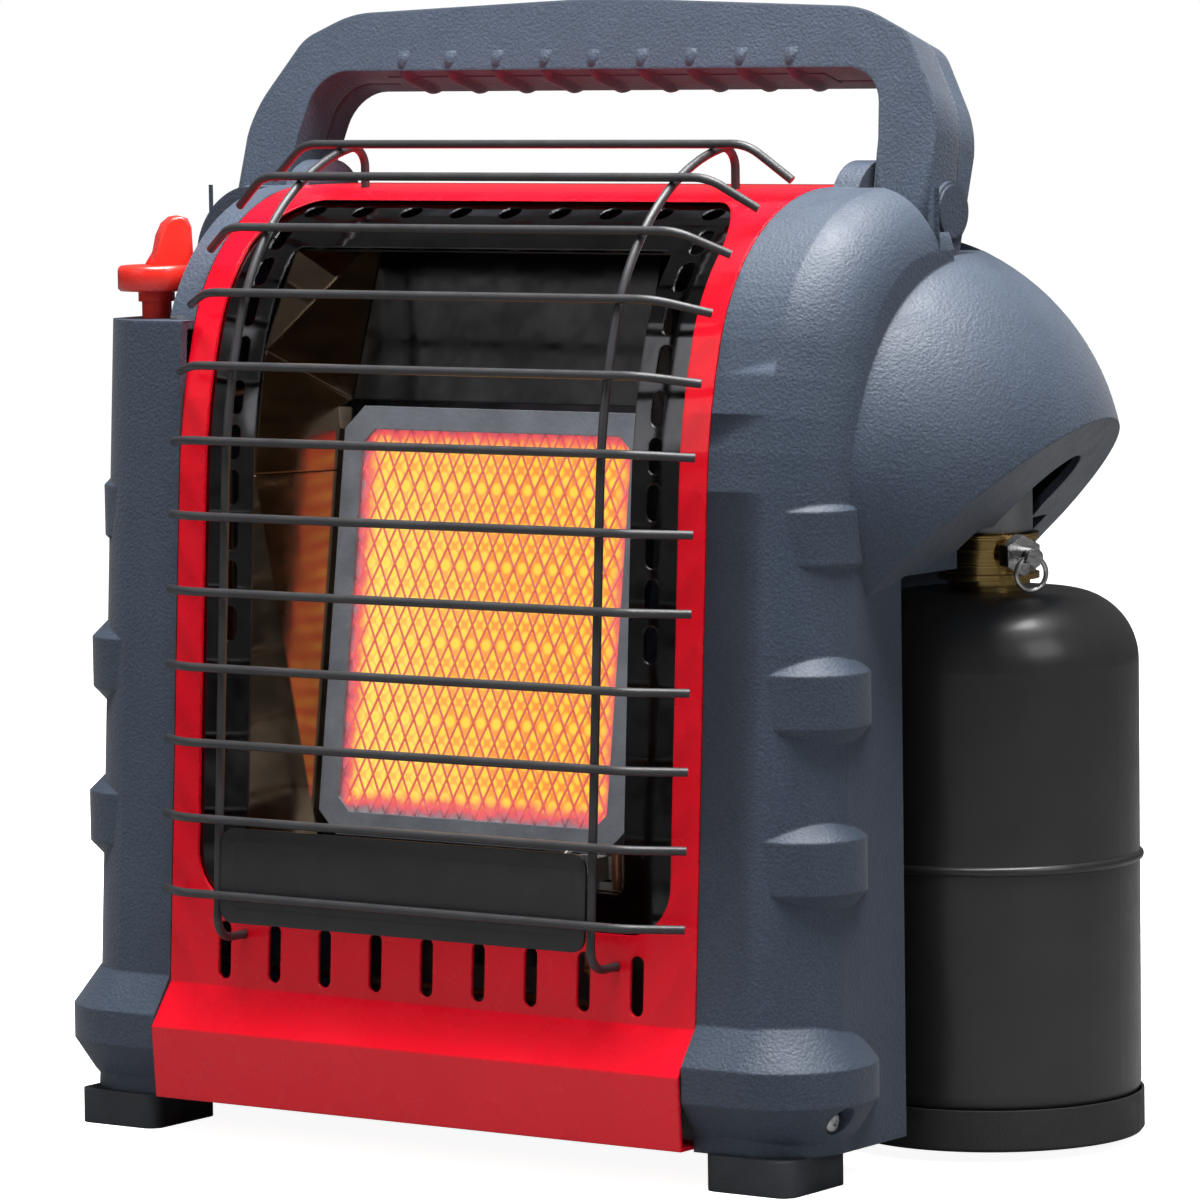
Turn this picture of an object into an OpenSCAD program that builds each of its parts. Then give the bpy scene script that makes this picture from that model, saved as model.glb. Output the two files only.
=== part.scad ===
// Portable propane heater: a radiant burner in a carry-about housing,
// fed by a one pound screw-on cylinder that hangs under a hood on the right.
// Millimetres. X runs to the right, Y runs to the back, Z is up, feet on z = 0.

/* [Housing] */
// Half width of the red sheet metal between the two side shells
panel_hw = 110; // [100:1:114]
// Half width over the plastic side shells, bumps and boots not counted
body_hw = 154; // [150:0.5:160]
// Height of the feet under the housing
foot_h = 12; // [8:1:16]
// Front of the face where the lower lip meets it
face_y = -79.5; // [-84:0.5:-76]
// Height where the lower lip meets the face
lip_z = 52; // [48:1:56]
// Lean of the face away from upright, degrees
lean = 3.4; // [2:0.1:5]
// Height where the face starts to curve back
curve_z = 228; // [220:1:236]
// Radius of the first, slow bend of the face
slow_r = 200; // [180:5:220]
// Radius of the second bend that runs into the top
top_r = 68; // [60:1:72]
// Back edge of the flat top
top_back = 38; // [36:1:44]
// Height of the low deck behind the handle
deck_z = 308.5; // [302:0.5:309]
// Height of the deck at its back edge
deck_back_z = 286; // [282:1:292]
// Back of the housing
rear_y = 104; // [100:1:112]
// Wall of the plastic shells
wall = 3; // [2.4:0.1:3.6]
// Thickness of the sheet metal
sheet = 1.2; // [0.8:0.1:1.4]
// Gap between the sheet metal and the shells
seam = 0.4; // [0.2:0.1:0.6]

/* [Shells] */
// Rounding between the face and the sides, up to the shoulder
corner_r = 26; // [20:1:28]
// How far the boots at the bottom stand out
boot_out = 8; // [5:0.5:9]
// How far the side bumps stand out
bump_out = 4.5; // [3:0.5:6]
// Radius of the side bumps, seen from above
bump_r = 20; // [16:0.5:22]
// Heights of the middles of the side bumps
bump_zs = [213, 160, 106];
// How much less the top bump stands out than the others
bump_fade = 3; // [2.5:0.5:4]
// Height of the step that carries the knob
step_z = 280; // [276:1:284]
// Width of the arch left standing beside the step
arch_w = 11; // [9:0.5:12]
// Radius of the round hood over the regulator
hood_r = 85; // [82:0.5:87]
// Middle of the hood
hood_c = [113.8, 25.2, 226.5];
// Height of the slanted underside of the hood over the gas axis
rim_z = 202.4; // [200:0.2:205]
// Rise of the underside of the hood towards the right
rim_rise = 0.93; // [0.88:0.01:0.98]

/* [Cylinder bay] */
// Radius of the bay the cylinder stands in
bay_r = 66; // [62:1:68]
// Middle of the bay
bay_c = [148, 45];
// Axis of the cylinder and the regulator inlet
gas_c = [144.7, 49];
// Height of the ceiling over the cylinder
bay_top = 198; // [195:1:202]
// Radius of the recess in the ceiling that the relief valve turns in
turn_r = 36; // [35:0.5:38]
// Height of the top of that recess
turn_top = 211; // [210:0.5:214]
// Half width of the slot in the hood round the regulator inlet
slot_hw = 17.5; // [16.5:0.5:20]

/* [Front panel] */
// Half width of the opening
open_hw = 99; // [94:1:101]
// Bottom of the opening
open_z = 81; // [80:0.5:86]
// Top of the opening
open_top = 320.5; // [316:0.5:322]
// Number of air slots under the opening
slot_n = 9; // [7:2:9]
// Pitch of the air slots
slot_pitch = 21.6; // [20:0.2:22.4]
// Width of an air slot
slot_w = 5.4; // [4:0.2:6.4]
// Height of an air slot
slot_h = 20; // [14:1:21]
// Depth of the lower lip in front of the face
lip_out = 11; // [8:0.5:12]

/* [Guard] */
// Diameter of the guard wire
wire_d = 3; // [2.6:0.1:3.4]
// Number of level bars
bar_n = 12; // [10:1:12]
// Pitch of the bars along the curve
bar_pitch = 25.8; // [24:0.1:26.4]
// Height of the lowest bar
bar_z = 85; // [83:1:90]
// How far the bars stand in front of the panel
bar_out = 18; // [15:0.5:20]
// How far the bar ends stand in front of the panel
tip_out = 5.5; // [4:0.5:7]
// Half width over the bar ends
tip_hw = 108.7; // [106:0.1:109]
// Half length of the straight part of a bar
straight_hw = 93; // [90:0.5:96]
// Half distance between the two uprights
upright_hw = 78; // [72:1:82]

/* [Burner] */
// Width of the burner case
burner_w = 129; // [122:1:132]
// Height of the burner case
burner_h = 148; // [140:1:150]
// Depth of the burner case
burner_d = 14; // [11:1:16]
// Middle of the front of the burner
burner_c = [0, -43.5, 177];
// Lean of the burner away from upright, degrees
burner_lean = 8.1; // [6:0.1:9]
// Width of the rim round the ceramic tile
rim_w = 8; // [6:0.5:9]

/* [Handle] */
// Height of the handle pivots
pivot_z = 316.5; // [315:0.5:318]
// Depth position of the handle pivots
pivot_y = 22; // [20:0.5:24]
// Width of the handle section seen from the front
grip_w = 25; // [22:0.5:26]
// Depth of the handle section
grip_d = 25; // [22:0.5:26]
// Distance from the middle to the centre line of a handle arm
arm_x = 135.5; // [134.5:0.1:136]
// Height of the centre line of the hand bar over the pivots
bar_rise = 59.2; // [56:0.2:62]
// How far the raised handle leans back, degrees
handle_lean = 18; // [0:1:24]
// Radius of the pivot pins
pin_r = 4; // [3:0.1:5]
// Running clearance of the pins in the handle
pin_gap = 0.08; // [0.03:0.01:0.1]

/* [Knob] */
// Axis of the knob
knob_c = [-137, -46.5];
// Radius of the knob flange
knob_r = 13.5; // [12:0.5:14]
// Height of the underside of the flange over the step
knob_lift = 9.5; // [8:0.5:11]
// Where the lever of the knob points at rest, degrees
knob_set = 46; // [0:1:90]
// Radius of the valve stem
stem_r = 3; // [2.5:0.1:3.5]
// Radius of the spindle that the knob slides on
spindle_r = 5.2; // [4.6:0.1:5.6]
// How far the knob pushes in
knob_travel = 5; // [4:0.5:6]

/* [Cylinder] */
// Radius of the steel cylinder
cyl_r = 50.5; // [49.5:0.1:51]
// Underside of the cylinder foot ring
cyl_z = 4; // [3:0.5:6]
// Height of the top of the shoulder
cyl_top = 188; // [186:0.5:189]
// Radius of the brass valve
valve_r = 16; // [15:0.5:17]
// Radius of the threaded spigot on the valve
spigot_r = 12.7; // [12:0.1:13]
// Clearance of the spigot in the inlet collar
spigot_gap = 0.1; // [0.05:0.01:0.1]

/* [Hidden] */
$fn = 96;
mid = [17.3, 4.4];
h0 = 90 - lean;
h1 = 72;
function arc_run(p, r, a, b, n) = [for (i = [1:n]) let (h = a + (b - a) * i / n)
    p + r * [sin(a) - sin(h), cos(h) - cos(a)]];
q0 = [face_y, lip_z];
q1 = [face_y + (curve_z - lip_z) * tan(lean), curve_z];
slow = arc_run(q1, slow_r, h0, h1, 4);
quick = arc_run(slow[3], top_r, h1, 0, 18);
top_z = quick[17][1];
face = concat([q0, q1], slow, quick, [[top_back, top_z]]);
face_low = [face_y - (lip_z - foot_h) * tan(lean), foot_h];
// moves an open outline sideways, to the right of its direction
function nrm(a, b) = let (d = (b - a) / norm(b - a)) [d[1], -d[0]];
function shift(p, o) = [for (i = [0:len(p) - 1])
    let (n1 = nrm(p[max(i - 1, 0)], p[max(i, 1)]),
         n2 = nrm(p[min(i, len(p) - 2)], p[min(i + 1, len(p) - 1)]))
    p[i] + (n1 + n2) / (1 + n1 * n2) * o];
function rev(p) = [for (i = [len(p) - 1:-1:0]) p[i]];
// point on the face path, with its heading, s along the guard and o outward
s1 = (curve_z - bar_z) / cos(lean);
s2 = s1 + (slow_r + bar_out) * (h0 - h1) * PI / 180;
function on_face(h, r, p, a) = p + r * [sin(a) - sin(h), cos(h) - cos(a)];
slow_c = q1 + slow_r * [sin(h0), -cos(h0)];
quick_c = slow[3] + top_r * [sin(h1), -cos(h1)];
function path(s, o) =
    let (h = s < s1 ? h0 : s < s2 ? h0 - (s - s1) / (slow_r + bar_out) * 180 / PI
             : h1 - (s - s2) / (top_r + bar_out) * 180 / PI,
         b = s < s1 ? q1 - (s1 - s) * [sin(lean), cos(lean)]
             : s < s2 ? on_face(h, slow_r, q1, h0) : on_face(h, top_r, slow[3], h1))
    [b[0] - o * sin(h), b[1] + o * cos(h), h];

shell_col = [0.17, 0.21, 0.27];
red_col = [0.83, 0.05, 0.05];
wire_col = [0.13, 0.13, 0.14];
chrome_col = [0.30, 0.30, 0.31];
steel_col = [0.62, 0.62, 0.63];
zinc_col = [0.56, 0.58, 0.60];
brass_col = [0.72, 0.52, 0.25];
black_col = [0.06, 0.06, 0.065];
rubber_col = [0.08, 0.08, 0.085];
glow_col = [1.0, 0.62, 0.12];
ceramic_col = [0.86, 0.84, 0.80];
copper_col = [0.72, 0.45, 0.30];

// which sub-part to draw

// ---- helpers ----
// colours a piece and sets the origin under the middle of the whole heater
module made(c) color(c) translate([-mid[0], -mid[1], 0]) children();
module along_x(x0, x1) {
    translate([x0, 0, 0]) rotate([90, 0, 90]) linear_extrude(x1 - x0) children();
}
module along_y(y0, y1) {
    translate([0, y1, 0]) rotate([90, 0, 0]) linear_extrude(y1 - y0) children();
}
module rounded(w, h, r) {
    square([w - 2 * r, h], center = true);
    square([w, h - 2 * r], center = true);
    for (x = [-1, 1], y = [-1, 1]) translate([x * (w / 2 - r), y * (h / 2 - r)]) circle(r);
}
module rod(a, b, r) {
    d = b - a;
    l = norm(d);
    translate(a) rotate([0, acos(d[2] / l), atan2(d[1], d[0])]) cylinder(h = l, r = r);
}
// tube through points, with a small fitting at each corner
module wire(pts, r) {
    for (i = [0:len(pts) - 2]) rod(pts[i], pts[i + 1], r, $fn = 48);
    for (i = [1:len(pts) - 2]) translate(pts[i]) rotate([31, 17, 0]) sphere(r + 0.4, $fn = 48);
}
// arc of wire in a plane of constant x, between two headings, welded at its ends
weld = 0.02;
module arc_yz(c, r, ha, hb, w) {
    g = weld / r * 180 / PI;
    rotate([90, 0, 90]) translate(c) rotate([0, 0, hb + 90 + g]) rotate_extrude(angle = ha - hb - 2 * g)
        translate([r, 0]) circle(w, $fn = 48);
}
// outline of the housing seen from the side, shrunk by o
module side_shape(o) {
    f = shift(concat([face_low], face), o);
    polygon(concat([for (p = f) [p[0], max(p[1], foot_h + o)]],
        [[top_back + 8 - o, deck_z - o], [rear_y - o, deck_back_z - o],
         [rear_y - o, foot_h + o]]));
}
// frame that leans with the face, origin on the front lower corner line
module leaned() {
    translate([0, face_y, lip_z]) rotate([-lean, 0, 0]) translate([0, -face_y, -lip_z]) children();
}

// ---- shells, drawn for the right side and mirrored for the left ----
x_in = panel_hw + seam;
module corner_cut(r) { // seen along the edge, corner at the origin, body on the -x -y side
    difference() {
        translate([-r, -r]) square(r + 9);
        translate([-r, -r]) circle(r + 0.5); // meets each face with a faint crease
    }
}
module round_edge(o) {
    r = corner_r - o;
    run = concat([q0 - 60 * [tan(lean), 1], q1], slow);
    for (i = [0:len(run) - 2]) {
        d = run[i + 1] - run[i];
        translate([body_hw - o, run[i][0], run[i][1]]) rotate([atan2(d[1], d[0]) - 90, 0, 0])
            translate([0, o, -1]) linear_extrude(norm(d) + 2) mirror([0, 1]) corner_cut(r);
    }
    rotate([90, 0, 90]) translate(quick_c) rotate([0, 0, 90]) rotate_extrude(angle = h1 + 1.2)
        translate([top_r - o, body_hw - o]) corner_cut(r);
    along_y(quick_c[0], rear_y + 9) translate([body_hw - o, top_z - o]) corner_cut(r);
}
module rear_corner(o) {
    r = 12;
    translate([x_in - 2, -150]) square([body_hw - o - x_in + 2, 150 + rear_y - r]);
    translate([x_in - 2, 0]) square([body_hw - r - x_in + 2, rear_y - o]);
    translate([body_hw - r, rear_y - r]) circle(r - o);
}
module shell_block(o, x0) {
    difference() {
        intersection() {
            along_x(x0, body_hw - o) side_shape(o);
            linear_extrude(400) rear_corner(o);
        }
        round_edge(o);
    }
}
// a band that follows the front corner: profile in [outward, height]
module band(prof, y_end, turn) {
    cx = body_hw - br;
    cy = face_y + br;
    translate([cx, y_end, 0]) rotate([90, 0, 0]) linear_extrude(y_end - cy) polygon(prof);
    translate([cx, cy, 0]) rotate([0, 0, -turn]) rotate_extrude(angle = turn) polygon(prof);
    translate([cx, y_end, 0]) rotate_extrude(angle = 90) polygon(prof);
    if (turn == 90) translate([x_in, cy, 0]) rotate([90, 0, 90]) linear_extrude(cx - x_in)
        mirror([1, 0]) polygon(prof);
}
br = 22;
boot = [[0, foot_h], [br - 4, foot_h], [br + 1, 18], [br + boot_out, 29],
    [br + boot_out, 41], [br - 1.5, lip_z + 2], [0, lip_z + 2]];
module bump(z) {
    y = face_y + (z - lip_z) * tan(lean) + bump_r + 0.7;
    translate([body_hw + bump_out - bump_r, y, z]) rotate_extrude() polygon([[0, -15], [bump_r - 6, -15],
        [bump_r, -8.5], [bump_r, 9], [bump_r - 6, 15], [0, 15]]);
}
module trims(y_end) {
    translate([0, -1.2, 0]) band(boot, y_end, 90);
    translate([-bump_fade, bump_fade / 2, 0]) bump(bump_zs[0]);
    for (i = [1, 2]) bump(bump_zs[i]);
}
lug_x1 = 121;
module lug() {
    along_x(panel_hw + 0.8, lug_x1) {
        translate([pivot_y, pivot_z]) circle(17);
        translate([pivot_y - 17, pivot_z - 30]) square([34, 30]);
    }
}
pocket_x = 152;
module pocket(o) {
    along_x(lug_x1 - o, pocket_x + o) {
        translate([pivot_y, pivot_z]) circle(18.5 + o);
        translate([pivot_y - 18.5 - o, pivot_z]) square([47 + 2 * o, 60]);
        translate([pivot_y, pivot_z - 14 - o]) square([28.5 + o, 60]);
    }
}
// space the gas cylinder and the regulator inlet take out of the right side
module bay_space(o) {
    translate([bay_c[0], bay_c[1], foot_h - 14]) cylinder(h = bay_top + o - foot_h + 14, r = bay_r + o);
    translate([gas_c[0], gas_c[1], foot_h]) cylinder(h = turn_top + o - foot_h, r = turn_r + o);
}
module inlet_slot() {
    translate([gas_c[0], gas_c[1], bay_top - 6]) linear_extrude(48) {
        circle(20);
        translate([0, -slot_hw]) square([16, 2 * slot_hw]);
        translate([16, 0]) circle(slot_hw);
    }
}
rim_run = 0.2;
module above_rim(o) {
    translate([gas_c[0], gas_c[1], rim_z + o]) rotate([asin(rim_run / norm([rim_rise, rim_run, 1])),
        -atan(rim_rise), 0]) translate([-250, -250, 0]) cube([500, 500, 300]);
}
module hood(o) {
    intersection() {
        translate(hood_c) sphere(hood_r - o);
        above_rim(o * 1.38);
        translate([x_in - (o > 0 ? 1 : 0), -150, 150]) cube([200, 150 + rear_y - o, deck_z - 1 - o - 150]);
    }
}
module bore_x(x0, x1, r) translate([x0, pivot_y, pivot_z]) rotate([0, 90, 0]) cylinder(h = x1 - x0, r = r);
screw_z = 24;
module screw_seat(y) {
    translate([body_hw - 1, y, screw_z]) rotate([0, 90, 0]) cylinder(h = 20, r = 4.6);
    translate([body_hw - 15, y, screw_z]) rotate([0, 90, 0]) cylinder(h = 29, r = 2.1);
}
hang_z = 266.4;
module right_block(o) {
    intersection() {
        shell_block(o, x_in - (o > 0 ? 1 : 0));
        union() {
            translate([x_in - 3, -150, 0]) cube([80, 150 + 14, 400]);
            translate([x_in - 3, -150, 0]) cube([14.6 - o, 300, 400]);
        }
    }
}
module right_shell() {
    made(shell_col) difference() {
        union() {
            right_block(0);
            hood(0);
            trims(face_y + br + 0.5);
            lug();
            intersection() {
                bay_space(wall);
                translate([60, -40, foot_h]) cube([x_in - 60 + 1, 40 + rear_y - sheet - 0.4, 272]);
            }
        }
        difference() {
            union() {
                right_block(wall);
                hood(wall);
            }
            bay_space(wall);
            pocket(wall);
            translate([gas_c[0], gas_c[1], hang_z]) cylinder(h = 60, r = 9);
        }
        bay_space(0);
        inlet_slot();
        pocket(0);
        bore_x(100, 125, pin_r);
        screw_seat(-66);
    }
}
module step_block(o) {
    y_top = face_y + (step_z - lip_z) * tan(lean);
    y_back = o > 0 ? 2 : 0;
    difference() {
        along_x(x_in - (o > 0 ? 1 : 0), body_hw - o) polygon([[face_low[0] + o, foot_h + o],
            [y_top + o, step_z - o], [y_back, step_z - o], [y_back, foot_h + o]]);
        leaned() translate([body_hw - o, face_y + o, -20]) linear_extrude(320)
            mirror([0, 1]) corner_cut(corner_r - o);
        if (o == 0) along_y(-150, 50) translate([body_hw, step_z]) corner_cut(5);
    }
}
module left_block(o) {
    intersection() {
        shell_block(o, x_in - (o > 0 ? 1 : 0));
        union() {
            translate([x_in - 3, -150, 0]) cube([arch_w + 3 - o, 300, 400]);
            translate([x_in - 3, -2 + o, 0]) cube([100, 200, 400]);
        }
    }
    step_block(o);
}
module left_side() {
    mirror([1, 0, 0]) difference() {
        union() {
            left_block(0);
            trims(rear_y - br - boot_out + 1.2);
            lug();
        }
        difference() {
            left_block(wall);
            pocket(wall);
        }
        pocket(0);
        bore_x(100, 125, pin_r);
        screw_seat(-66);
        screw_seat(78);
        translate([-knob_c[0], knob_c[1], step_z - 10]) cylinder(h = 20, r = spindle_r + 1);
    }
}
// the left side comes apart level with the step: shell below, arch above
arch_z = step_z + 0.3;
module left_shell() {
    made(shell_col) intersection() {
        left_side();
        translate([-250, -250, 0]) cube([500, 500, arch_z]);
    }
}
module left_arch() {
    made(shell_col) intersection() {
        left_side();
        translate([-250, -250, arch_z + weld]) cube([500, 500, 200]);
    }
}

// ---- sheet metal ----
module strip(p, t) polygon(concat(p, rev(shift(p, t))));
lip = [[-60, foot_h + 0.8], [face_y - lip_out + 1.8, foot_h + 0.8], [face_y - lip_out, 37.5]];
module front_panel() {
    made(red_col) difference() {
        along_x(-panel_hw, panel_hw)
            strip(concat(lip, face, [[top_back + 0.01, top_z - 8]]), sheet);
        along_y(-130, -2) translate([0, (open_z + open_top) / 2])
            rounded(open_hw * 2, open_top - open_z, 17);
        for (s = [-1, 1]) {
            translate([s * upright_hw, face_y - 4, foot_in]) rotate([-90, 0, 0])
                cylinder(h = 12, r = wire_d / 2 + 0.1);
            translate([s * upright_hw, up_tc[0] + up_r, top_z - 9]) cylinder(h = 18, r = wire_d / 2 + 0.1);
        }
        for (i = [0:slot_n - 1]) along_y(-100, -60)
            translate([(i - (slot_n - 1) / 2) * slot_pitch, lip_z + 2.5 + slot_h / 2])
                rounded(slot_w, slot_h, slot_w / 2 - 0.01);
    }
}
deck = [[top_back + 1.7, top_z - 2], [top_back + 8, deck_z], [rear_y, deck_back_z],
    [rear_y, foot_h + 2]];
module rear_panel() {
    made(black_col) difference() {
        along_x(-panel_hw, panel_hw) strip(deck, sheet);
        for (i = [0:8], x = [-48, 30]) along_y(rear_y - 10, rear_y + 10)
            translate([x, 70 + i * 22]) rounded(62, 6, 2.9);
        for (x = [-72:24:72]) translate([x, 78, 280]) linear_extrude(40) rounded(6, 34, 2.9);
        for (x = [-104, 104], z = [40, 160, 280]) translate([x, rear_y - 5, z])
            rotate([-90, 0, 0]) cylinder(h = 10, r = 1.8);
    }
}
module base_pan() {
    made(steel_col) difference() {
        translate([-panel_hw + 1, face_y + 1, foot_h + 2.3])
            cube([2 * panel_hw - 2, rear_y - face_y - 3.4, sheet]);
        translate([bay_c[0], bay_c[1], 0]) cylinder(h = 60, r = bay_r + wall + 0.6);
        for (x = [-60:24:60]) translate([x, 20, 0]) linear_extrude(40) rounded(7, 40, 3.4);
    }
}
module heat_shield() {
    made(steel_col) difference() {
        translate([-104, 12, foot_h + 3.5]) cube([186, 0.8, 284]);
        for (x = [-80:28:60]) along_y(8, 16) translate([x, 270]) circle(5);
    }
}

// ---- reflector ----
function low_pt(z) = q1 - (curve_z - z) * [tan(lean), 1];
frame_line = shift(concat([low_pt(74), q1], slow, [for (i = [0:14]) quick[i]]), sheet + 0.3);
t2 = (curve_z - 85) / cos(lean) + slow_r * (h0 - h1) * PI / 180;
function panel_at(t) = // heading along the face itself, t from height 85
    let (t1 = (curve_z - 85) / cos(lean),
         h = t < t1 ? h0 : t < t2 ? h0 - (t - t1) / slow_r * 180 / PI
             : h1 - (t - t2) / top_r * 180 / PI,
         b = t < t1 ? q1 - (t1 - t) * [sin(lean), cos(lean)]
             : t < t2 ? on_face(h, slow_r, q1, h0) : on_face(h, top_r, slow[3], h1))
    [b[0], b[1], h];
win_hw = 79;
win_z0 = 94;
win_z1 = 305;
module reflector_frame() {
    made(chrome_col) difference() {
        along_x(-104, 104) strip(frame_line, 0.8);
        along_y(-120, -2) translate([0, (win_z0 + win_z1) / 2])
            rounded(win_hw * 2, win_z1 - win_z0, 3);
        for (i = [0:9], sx = [-1, 1]) {
            p = panel_at(92 + i * 15.6);
            translate([sx * 88, p[0], p[1]]) rotate([p[2], 0, 0]) linear_extrude(12, center = true)
                rounded(5.4, 12, 2.65);
        }
        for (i = [-4:4]) {
            p = panel_at(t2 + top_r * 46 * PI / 180);
            translate([i * 20.9, p[0], p[1]]) rotate([p[2], 0, 0]) cylinder(h = 12, r = 4, center = true);
        }
    }
}
function burner_y(z) = burner_c[1] + (z - burner_c[2]) * tan(burner_lean);
module panel_of(a, b, c, d) { // flat sheet between the edges a-b and c-d
    hull() { rod(a, b, 0.4, $fn = 12); rod(c, d, 0.4, $fn = 12); }
}
back = sheet + 0.3 + 0.8 + 0.5; // the walls start this far behind the face
function box_edge(z) = z <= curve_z ? low_pt(z)[0] + back :
    z < slow[3][1] ? slow_c[0] - sqrt(pow(slow_r - back, 2) - pow(z - slow_c[1], 2)) :
    quick_c[0] - sqrt(pow(top_r - back, 2) - pow(z - quick_c[1], 2));
rb = burner_w / 2 + 0.8;
ub = burner_w / 2 - 5;
top_in = [-16, 311];
box_zs = [win_z0 + 0.5, curve_z, 270, win_z1 - 1];
module reflector_sides() {
    made(chrome_col) for (s = [-1, 1]) {
        panel_of([s * 79.5, box_edge(box_zs[0]), box_zs[0]], [s * 79.5, box_edge(box_zs[1]), box_zs[1] - 0.4],
            [s * rb, burner_y(box_zs[0]) + 4, box_zs[0]], [s * rb, burner_y(box_zs[1]) + 4, box_zs[1] - 0.4]);
        panel_of([s * 79.5, box_edge(box_zs[1]), box_zs[1]], [s * 79.5, box_edge(box_zs[2]), box_zs[2] - 0.4],
            [s * rb, burner_y(box_zs[1]) + 4, box_zs[1]], [s * rb, burner_y(252) + 4, 251.6]);
        panel_of([s * 79.5, box_edge(box_zs[2]), box_zs[2]], [s * 79.5, box_edge(box_zs[3]), box_zs[3]],
            [s * rb, burner_y(252) + 4, 252.2], [s * ub, top_in[0], top_in[1]]);
    }
}
module reflector_top() {
    made(chrome_col) {
        panel_of([-77.6, box_edge(box_zs[3]), box_zs[3]], [77.6, box_edge(box_zs[3]), box_zs[3]],
            [-ub + 1.6, top_in[0], top_in[1]], [ub - 1.6, top_in[0], top_in[1]]);
        panel_of([-rb + 1, burner_y(252) + 4, 252.4], [rb - 1, burner_y(252) + 4, 252.4],
            [-ub + 1, top_in[0], top_in[1]], [ub - 1, top_in[0], top_in[1]]);
    }
}
module reflector_floor() {
    z = win_z0 + 0.5;
    made(chrome_col) difference() {
        panel_of([-78.6, box_edge(z), z], [78.6, box_edge(z), z],
            [-rb + 1, burner_y(z) + 4, z], [rb - 1, burner_y(z) + 4, z]);
        translate([38, -73, 80]) cube([40, 21, 30]);
    }
}

// ---- burner ----
module burner_frame() translate(burner_c) rotate([-burner_lean, 0, 0]) children();
module chamfered(w, h, c) polygon([[-w / 2 + c, -h / 2], [w / 2 - c, -h / 2], [w / 2, -h / 2 + c],
    [w / 2, h / 2 - c], [w / 2 - c, h / 2], [-w / 2 + c, h / 2], [-w / 2, h / 2 - c],
    [-w / 2, -h / 2 + c]]);
module burner_case() {
    made(steel_col) burner_frame() difference() {
        along_y(0, burner_d) chamfered(burner_w, burner_h, 8);
        along_y(1.2, burner_d + 1) chamfered(burner_w - 2.4, burner_h - 2.4, 7.5);
        along_y(-1, 3) chamfered(burner_w - 2 * rim_w, burner_h - 2 * rim_w, 5);
    }
}
tile_w = burner_w - 6;
tile_h = burner_h - 6;
module burner_screen() {
    made(wire_col) burner_frame() difference() {
        along_y(1.4, 2.2) chamfered(tile_w, tile_h, 6.5);
        intersection() {
            along_y(0, 3) chamfered(burner_w - 2 * rim_w - 1, burner_h - 2 * rim_w - 1, 5);
            for (i = [-4:4], j = [-5:5], k = [0, 1])
                translate([(i + k / 2) * 13, 0, (j + k / 2) * 14.5]) rotate([0, 45, 0])
                    cube([8.4, 8, 8.4], center = true);
        }
    }
}
module burner_tile() {
    made(glow_col) burner_frame() difference() {
        along_y(2.6, 13) chamfered(tile_w, tile_h, 6.5);
        for (x = [-1, 1], z = [-1, 1]) translate([x * 52, 2, z * 60]) rotate([-90, 0, 0])
            cylinder(h = 2, r = 1.5);
    }
}
mix_c = [0, -28];
mix_r = 10;
module burner_plenum() {
    made(steel_col) difference() {
        union() {
            burner_frame() along_y(burner_d, 38) chamfered(121, 140, 6);
            translate([mix_c[0], mix_c[1], 94]) cylinder(h = 16, r = mix_r + 1.4);
        }
        burner_frame() along_y(burner_d - 1, 37) chamfered(119, 138, 5.5);
        translate([mix_c[0], mix_c[1], 90]) cylinder(h = 30, r = mix_r + 0.02);
    }
}
module venturi_tube() {
    made(steel_col) translate([mix_c[0], mix_c[1], 0]) rotate_extrude() polygon([[mix_r - 1, 106],
        [mix_r, 106], [mix_r, 70], [mix_r + 4, 60], [mix_r + 3, 60], [mix_r - 1, 70]]);
}
module gas_orifice() {
    made(brass_col) translate([mix_c[0], mix_c[1], 0]) difference() {
        union() {
            translate([0, 0, 42]) cylinder(h = 8, r = 6.5, $fn = 6);
            translate([0, 0, 50]) cylinder(h = 6, r = 3.2);
        }
        translate([0, 0, 41]) cylinder(h = 6, r = 2.6);
        translate([0, 0, 46]) cylinder(h = 12, r = 0.6);
    }
}

// ---- pilot ----
pilot_y = -63;
module pilot_bracket() {
    made(steel_col) difference() {
        union() {
            translate([40, -71, 86]) cube([36, 22.2, 1.2]);
            translate([40, -50, 86]) cube([24, 1.2, 16.8]);
        }
        for (p = [[46, 3.3], [56, 4.1], [68, 2.8]]) translate([p[0], pilot_y, 80]) cylinder(h = 12, r = p[1]);
    }
}
module pilot_burner() {
    made(steel_col) translate([56, pilot_y, 0]) difference() {
        union() {
            translate([0, 0, 78]) cylinder(h = 20, r = 4);
            translate([-5, -4, 96]) cube([10, 9, 8]);
        }
        translate([0, 0, 77]) cylinder(h = 22, r = 2);
        translate([-3.8, -5, 99]) cube([7.6, 8.5, 6]);
    }
}
module igniter_electrode() {
    made(ceramic_col) translate([46, pilot_y, 76]) cylinder(h = 22, r = 3.2);
    made(steel_col) wire([[46, pilot_y, 97.5], [46, pilot_y, 103], [49.5, pilot_y, 106]], 0.8);
}
module thermocouple() {
    made(copper_col) {
        translate([68, pilot_y, 78]) cylinder(h = 14, r = 2.7);
        translate([68, pilot_y, 91]) cylinder(h = 15, r = 1.7);
        translate([68, pilot_y, 106]) sphere(1.7);
    }
}
module tip_switch() {
    made(black_col) difference() {
        translate([-74, 58, foot_h + 3.6]) cube([26, 22, 30]);
        translate([-72, 60, foot_h + 5.6]) cube([22, 18, 40]);
    }
    made(steel_col) translate([-61, 69, foot_h + 5.6]) cylinder(h = 6, r1 = 9, r2 = 4);
}

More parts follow.
